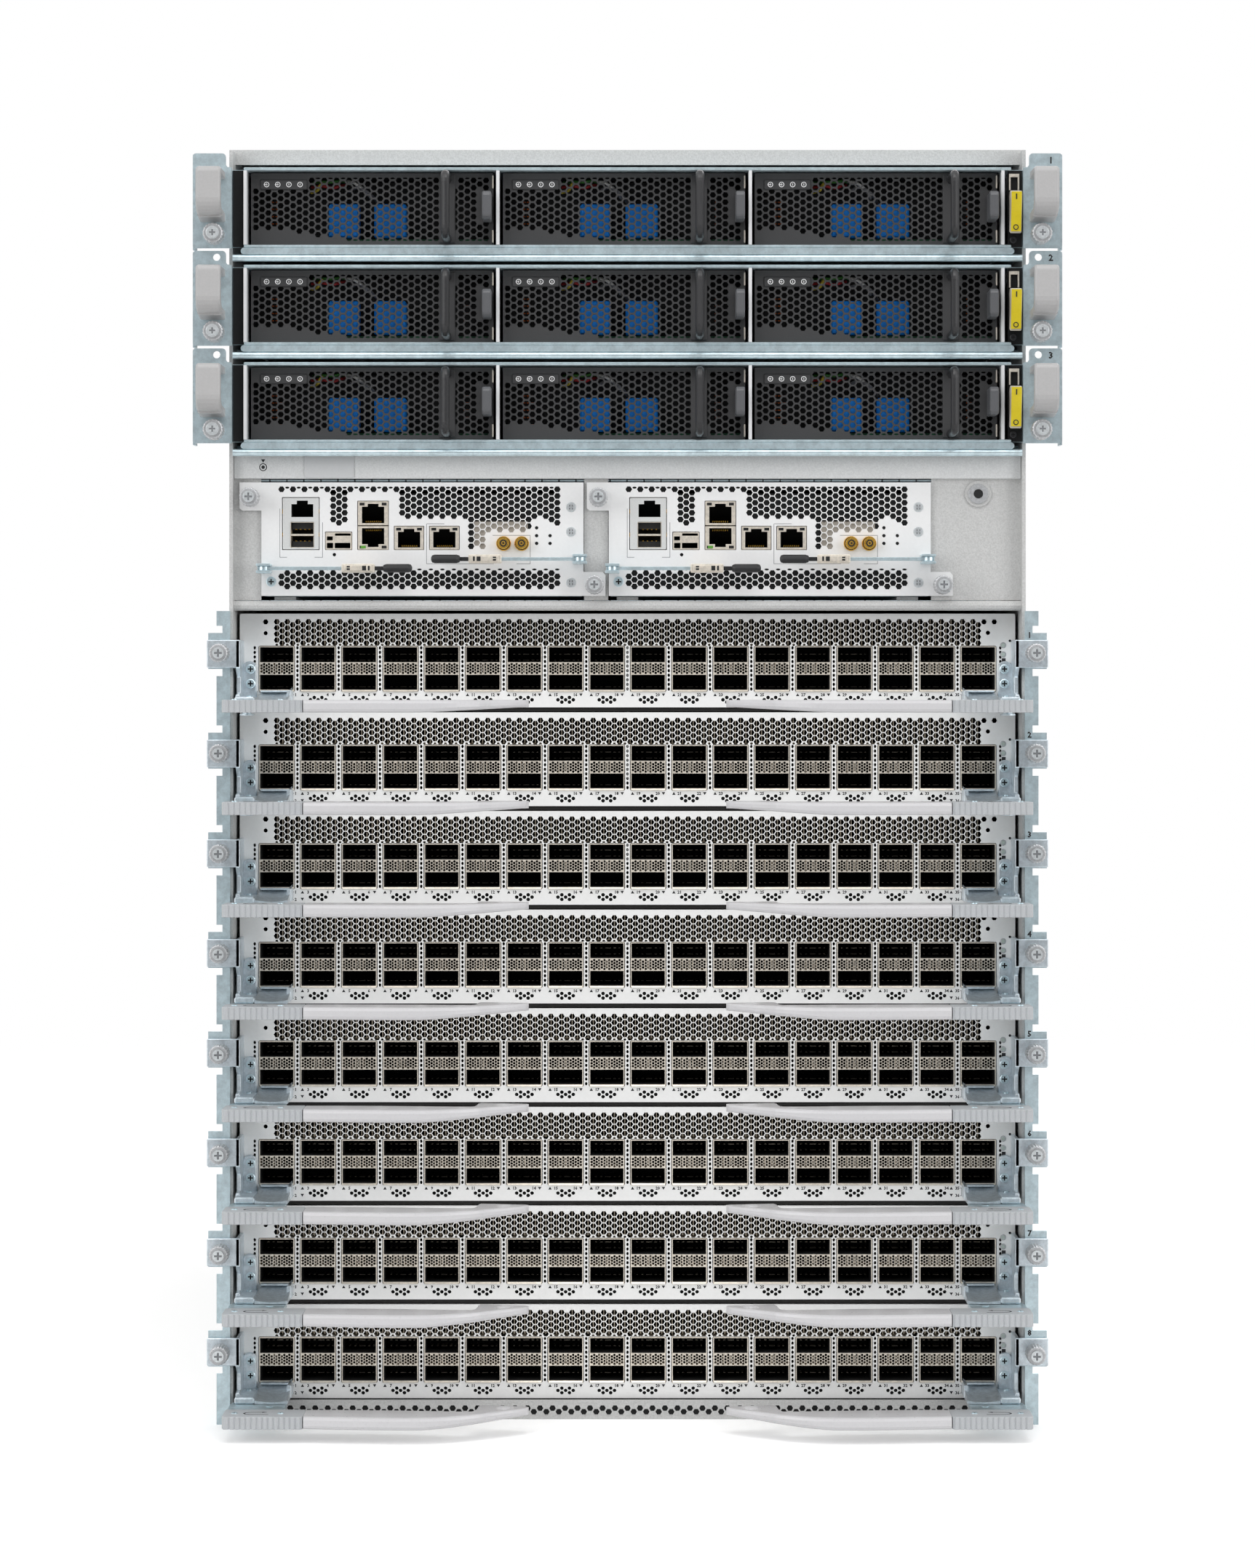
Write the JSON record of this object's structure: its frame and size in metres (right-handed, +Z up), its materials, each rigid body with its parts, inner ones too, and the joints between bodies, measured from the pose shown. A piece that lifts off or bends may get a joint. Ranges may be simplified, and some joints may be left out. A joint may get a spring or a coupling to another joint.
{
  "type": "modular chassis switch",
  "caption": "Rack-mount modular network switch chassis: slide-in line cards of stacked port cages with ejector levers, supervisors, power trays and rear fan trays.",
  "frame": {"origin": "middle of the base plate's underside", "axes": "+Z up, -Y is the front with the line cards, +X to the right seen from the front"},
  "size_m": [0.4826, 0.9062, 0.7112],
  "materials": {
    "chassis_paint": "fine textured light grey powder coat",
    "white_paint": "smooth off-white paint",
    "zinc_plate": "zinc plated steel with a faint blue tint",
    "lever_grey": "silver grey moulded handle",
    "charcoal_paint": "dark grey perforated steel",
    "yellow_plastic": "yellow moulded switch",
    "board_green": "circuit board"
  },
  "bodies": {
    "chassis": {"side_wall_left": "chassis_paint", "side_wall_right": "chassis_paint", "top_cover": "chassis_paint", "base_pan": "chassis_paint", "front_rail_left": "zinc_plate", "front_rail_right": "zinc_plate", "wall_guides": "zinc_plate", "mid_shelves": "zinc_plate", "name_bezel": "white_paint", "filler_panels": "white_paint", "fabric_modules": "board_green"},
    "line_card_1": {"line_card_1": "white_paint"},
    "card_lever_left_1": {"card_lever_left_1": "lever_grey"},
    "card_lever_right_1": {"card_lever_right_1": "lever_grey"},
    "line_card_2": {"line_card_2": "white_paint"},
    "card_lever_left_2": {"card_lever_left_2": "lever_grey"},
    "card_lever_right_2": {"card_lever_right_2": "lever_grey"},
    "line_card_3": {"line_card_3": "white_paint"},
    "card_lever_left_3": {"card_lever_left_3": "lever_grey"},
    "card_lever_right_3": {"card_lever_right_3": "lever_grey"},
    "line_card_4": {"line_card_4": "white_paint"},
    "card_lever_left_4": {"card_lever_left_4": "lever_grey"},
    "card_lever_right_4": {"card_lever_right_4": "lever_grey"},
    "line_card_5": {"line_card_5": "white_paint"},
    "card_lever_left_5": {"card_lever_left_5": "lever_grey"},
    "card_lever_right_5": {"card_lever_right_5": "lever_grey"},
    "line_card_6": {"line_card_6": "white_paint"},
    "card_lever_left_6": {"card_lever_left_6": "lever_grey"},
    "card_lever_right_6": {"card_lever_right_6": "lever_grey"},
    "line_card_7": {"line_card_7": "white_paint"},
    "card_lever_left_7": {"card_lever_left_7": "lever_grey"},
    "card_lever_right_7": {"card_lever_right_7": "lever_grey"},
    "line_card_8": {"line_card_8": "white_paint"},
    "card_lever_left_8": {"card_lever_left_8": "lever_grey"},
    "card_lever_right_8": {"card_lever_right_8": "lever_grey"},
    "supervisor_1": {"supervisor_1": "white_paint"},
    "supervisor_1_lever_left": {"supervisor_1_lever_left": "zinc_plate"},
    "supervisor_1_lever_right": {"supervisor_1_lever_right": "zinc_plate"},
    "supervisor_2": {"supervisor_2": "white_paint"},
    "supervisor_2_lever_left": {"supervisor_2_lever_left": "zinc_plate"},
    "supervisor_2_lever_right": {"supervisor_2_lever_right": "zinc_plate"},
    "power_tray_1": {"power_tray_1": "zinc_plate"},
    "power_switch_1": {"power_switch_1": "yellow_plastic"},
    "power_supply_1_1": {"power_supply_1_1": "charcoal_paint"},
    "power_supply_1_2": {"power_supply_1_2": "charcoal_paint"},
    "power_supply_1_3": {"power_supply_1_3": "charcoal_paint"},
    "power_tray_2": {"power_tray_2": "zinc_plate"},
    "power_switch_2": {"power_switch_2": "yellow_plastic"},
    "power_supply_2_1": {"power_supply_2_1": "charcoal_paint"},
    "power_supply_2_2": {"power_supply_2_2": "charcoal_paint"},
    "power_supply_2_3": {"power_supply_2_3": "charcoal_paint"},
    "power_tray_3": {"power_tray_3": "zinc_plate"},
    "power_switch_3": {"power_switch_3": "yellow_plastic"},
    "power_supply_3_1": {"power_supply_3_1": "charcoal_paint"},
    "power_supply_3_2": {"power_supply_3_2": "charcoal_paint"},
    "power_supply_3_3": {"power_supply_3_3": "charcoal_paint"},
    "fan_tray_1": {"fan_tray_1": "chassis_paint"},
    "fan_tray_2": {"fan_tray_2": "chassis_paint"},
    "fan_tray_3": {"fan_tray_3": "chassis_paint"},
    "fan_tray_4": {"fan_tray_4": "chassis_paint"}
  },
  "joints": [
    {"name": "line_card_1_slide", "type": "slide", "parent": "chassis", "child": "line_card_1", "axis": [0, -1, 0], "range_m": [0, 0.36]},
    {"name": "card_lever_left_1_hinge", "type": "hinge", "parent": "line_card_1", "child": "card_lever_left_1", "pos_m": [-0.211, -0.41, 0.39891], "axis": [0, 0, 1], "range_deg": [-60, 0]},
    {"name": "card_lever_right_1_hinge", "type": "hinge", "parent": "line_card_1", "child": "card_lever_right_1", "pos_m": [0.211, -0.41, 0.39891], "axis": [0, 0, 1], "range_deg": [0, 60]},
    {"name": "line_card_2_slide", "type": "slide", "parent": "chassis", "child": "line_card_2", "axis": [0, -1, 0], "range_m": [0, 0.36]},
    {"name": "card_lever_left_2_hinge", "type": "hinge", "parent": "line_card_2", "child": "card_lever_left_2", "pos_m": [-0.211, -0.41, 0.34348], "axis": [0, 0, 1], "range_deg": [-60, 0]},
    {"name": "card_lever_right_2_hinge", "type": "hinge", "parent": "line_card_2", "child": "card_lever_right_2", "pos_m": [0.211, -0.41, 0.34348], "axis": [0, 0, 1], "range_deg": [0, 60]},
    {"name": "line_card_3_slide", "type": "slide", "parent": "chassis", "child": "line_card_3", "axis": [0, -1, 0], "range_m": [0, 0.36]},
    {"name": "card_lever_left_3_hinge", "type": "hinge", "parent": "line_card_3", "child": "card_lever_left_3", "pos_m": [-0.211, -0.41, 0.28805], "axis": [0, 0, 1], "range_deg": [-60, 0]},
    {"name": "card_lever_right_3_hinge", "type": "hinge", "parent": "line_card_3", "child": "card_lever_right_3", "pos_m": [0.211, -0.41, 0.28805], "axis": [0, 0, 1], "range_deg": [0, 60]},
    {"name": "line_card_4_slide", "type": "slide", "parent": "chassis", "child": "line_card_4", "axis": [0, -1, 0], "range_m": [0, 0.36]},
    {"name": "card_lever_left_4_hinge", "type": "hinge", "parent": "line_card_4", "child": "card_lever_left_4", "pos_m": [-0.211, -0.41, 0.23262], "axis": [0, 0, 1], "range_deg": [-60, 0]},
    {"name": "card_lever_right_4_hinge", "type": "hinge", "parent": "line_card_4", "child": "card_lever_right_4", "pos_m": [0.211, -0.41, 0.23262], "axis": [0, 0, 1], "range_deg": [0, 60]},
    {"name": "line_card_5_slide", "type": "slide", "parent": "chassis", "child": "line_card_5", "axis": [0, -1, 0], "range_m": [0, 0.36]},
    {"name": "card_lever_left_5_hinge", "type": "hinge", "parent": "line_card_5", "child": "card_lever_left_5", "pos_m": [-0.211, -0.41, 0.17719], "axis": [0, 0, 1], "range_deg": [-60, 0]},
    {"name": "card_lever_right_5_hinge", "type": "hinge", "parent": "line_card_5", "child": "card_lever_right_5", "pos_m": [0.211, -0.41, 0.17719], "axis": [0, 0, 1], "range_deg": [0, 60]},
    {"name": "line_card_6_slide", "type": "slide", "parent": "chassis", "child": "line_card_6", "axis": [0, -1, 0], "range_m": [0, 0.36]},
    {"name": "card_lever_left_6_hinge", "type": "hinge", "parent": "line_card_6", "child": "card_lever_left_6", "pos_m": [-0.211, -0.41, 0.12176], "axis": [0, 0, 1], "range_deg": [-60, 0]},
    {"name": "card_lever_right_6_hinge", "type": "hinge", "parent": "line_card_6", "child": "card_lever_right_6", "pos_m": [0.211, -0.41, 0.12176], "axis": [0, 0, 1], "range_deg": [0, 60]},
    {"name": "line_card_7_slide", "type": "slide", "parent": "chassis", "child": "line_card_7", "axis": [0, -1, 0], "range_m": [0, 0.36]},
    {"name": "card_lever_left_7_hinge", "type": "hinge", "parent": "line_card_7", "child": "card_lever_left_7", "pos_m": [-0.211, -0.41, 0.06633], "axis": [0, 0, 1], "range_deg": [-60, 0]},
    {"name": "card_lever_right_7_hinge", "type": "hinge", "parent": "line_card_7", "child": "card_lever_right_7", "pos_m": [0.211, -0.41, 0.06633], "axis": [0, 0, 1], "range_deg": [0, 60]},
    {"name": "line_card_8_slide", "type": "slide", "parent": "chassis", "child": "line_card_8", "axis": [0, -1, 0], "range_m": [0, 0.36]},
    {"name": "card_lever_left_8_hinge", "type": "hinge", "parent": "line_card_8", "child": "card_lever_left_8", "pos_m": [-0.211, -0.41, 0.0109], "axis": [0, 0, 1], "range_deg": [-60, 0]},
    {"name": "card_lever_right_8_hinge", "type": "hinge", "parent": "line_card_8", "child": "card_lever_right_8", "pos_m": [0.211, -0.41, 0.0109], "axis": [0, 0, 1], "range_deg": [0, 60]},
    {"name": "supervisor_1_slide", "type": "slide", "parent": "chassis", "child": "supervisor_1", "axis": [0, -1, 0], "range_m": [0, 0.36]},
    {"name": "supervisor_1_lever_left_hinge", "type": "hinge", "parent": "supervisor_1", "child": "supervisor_1_lever_left", "pos_m": [-0.2022, -0.405, 0.47621], "axis": [0, 0, 1], "range_deg": [-70, 0]},
    {"name": "supervisor_1_lever_right_hinge", "type": "hinge", "parent": "supervisor_1", "child": "supervisor_1_lever_right", "pos_m": [-0.0265, -0.405, 0.48141], "axis": [0, 0, 1], "range_deg": [0, 70]},
    {"name": "supervisor_2_slide", "type": "slide", "parent": "chassis", "child": "supervisor_2", "axis": [0, -1, 0], "range_m": [0, 0.36]},
    {"name": "supervisor_2_lever_left_hinge", "type": "hinge", "parent": "supervisor_2", "child": "supervisor_2_lever_left", "pos_m": [-0.0085, -0.405, 0.47621], "axis": [0, 0, 1], "range_deg": [-70, 0]},
    {"name": "supervisor_2_lever_right_hinge", "type": "hinge", "parent": "supervisor_2", "child": "supervisor_2_lever_right", "pos_m": [0.1672, -0.405, 0.48141], "axis": [0, 0, 1], "range_deg": [0, 70]},
    {"name": "power_tray_1_slide", "type": "slide", "parent": "chassis", "child": "power_tray_1", "axis": [0, -1, 0], "range_m": [0, 0.5]},
    {"name": "power_switch_1_hinge", "type": "hinge", "parent": "power_tray_1", "child": "power_switch_1", "pos_m": [0.2152, -0.409, 0.67396], "axis": [1, 0, 0], "range_deg": [-10, 0]},
    {"name": "power_supply_1_1_slide", "type": "slide", "parent": "power_tray_1", "child": "power_supply_1_1", "axis": [0, -1, 0], "range_m": [0, 0.5]},
    {"name": "power_supply_1_2_slide", "type": "slide", "parent": "power_tray_1", "child": "power_supply_1_2", "axis": [0, -1, 0], "range_m": [0, 0.5]},
    {"name": "power_supply_1_3_slide", "type": "slide", "parent": "power_tray_1", "child": "power_supply_1_3", "axis": [0, -1, 0], "range_m": [0, 0.5]},
    {"name": "power_tray_2_slide", "type": "slide", "parent": "chassis", "child": "power_tray_2", "axis": [0, -1, 0], "range_m": [0, 0.5]},
    {"name": "power_switch_2_hinge", "type": "hinge", "parent": "power_tray_2", "child": "power_switch_2", "pos_m": [0.2152, -0.409, 0.61986], "axis": [1, 0, 0], "range_deg": [-10, 0]},
    {"name": "power_supply_2_1_slide", "type": "slide", "parent": "power_tray_2", "child": "power_supply_2_1", "axis": [0, -1, 0], "range_m": [0, 0.5]},
    {"name": "power_supply_2_2_slide", "type": "slide", "parent": "power_tray_2", "child": "power_supply_2_2", "axis": [0, -1, 0], "range_m": [0, 0.5]},
    {"name": "power_supply_2_3_slide", "type": "slide", "parent": "power_tray_2", "child": "power_supply_2_3", "axis": [0, -1, 0], "range_m": [0, 0.5]},
    {"name": "power_tray_3_slide", "type": "slide", "parent": "chassis", "child": "power_tray_3", "axis": [0, -1, 0], "range_m": [0, 0.5]},
    {"name": "power_switch_3_hinge", "type": "hinge", "parent": "power_tray_3", "child": "power_switch_3", "pos_m": [0.2152, -0.409, 0.56576], "axis": [1, 0, 0], "range_deg": [-10, 0]},
    {"name": "power_supply_3_1_slide", "type": "slide", "parent": "power_tray_3", "child": "power_supply_3_1", "axis": [0, -1, 0], "range_m": [0, 0.5]},
    {"name": "power_supply_3_2_slide", "type": "slide", "parent": "power_tray_3", "child": "power_supply_3_2", "axis": [0, -1, 0], "range_m": [0, 0.5]},
    {"name": "power_supply_3_3_slide", "type": "slide", "parent": "power_tray_3", "child": "power_supply_3_3", "axis": [0, -1, 0], "range_m": [0, 0.5]},
    {"name": "fan_tray_1_slide", "type": "slide", "parent": "chassis", "child": "fan_tray_1", "axis": [0, 1, 0], "range_m": [0, 0.13]},
    {"name": "fan_tray_2_slide", "type": "slide", "parent": "chassis", "child": "fan_tray_2", "axis": [0, 1, 0], "range_m": [0, 0.13]},
    {"name": "fan_tray_3_slide", "type": "slide", "parent": "chassis", "child": "fan_tray_3", "axis": [0, 1, 0], "range_m": [0, 0.13]},
    {"name": "fan_tray_4_slide", "type": "slide", "parent": "chassis", "child": "fan_tray_4", "axis": [0, 1, 0], "range_m": [0, 0.13]}
  ]
}
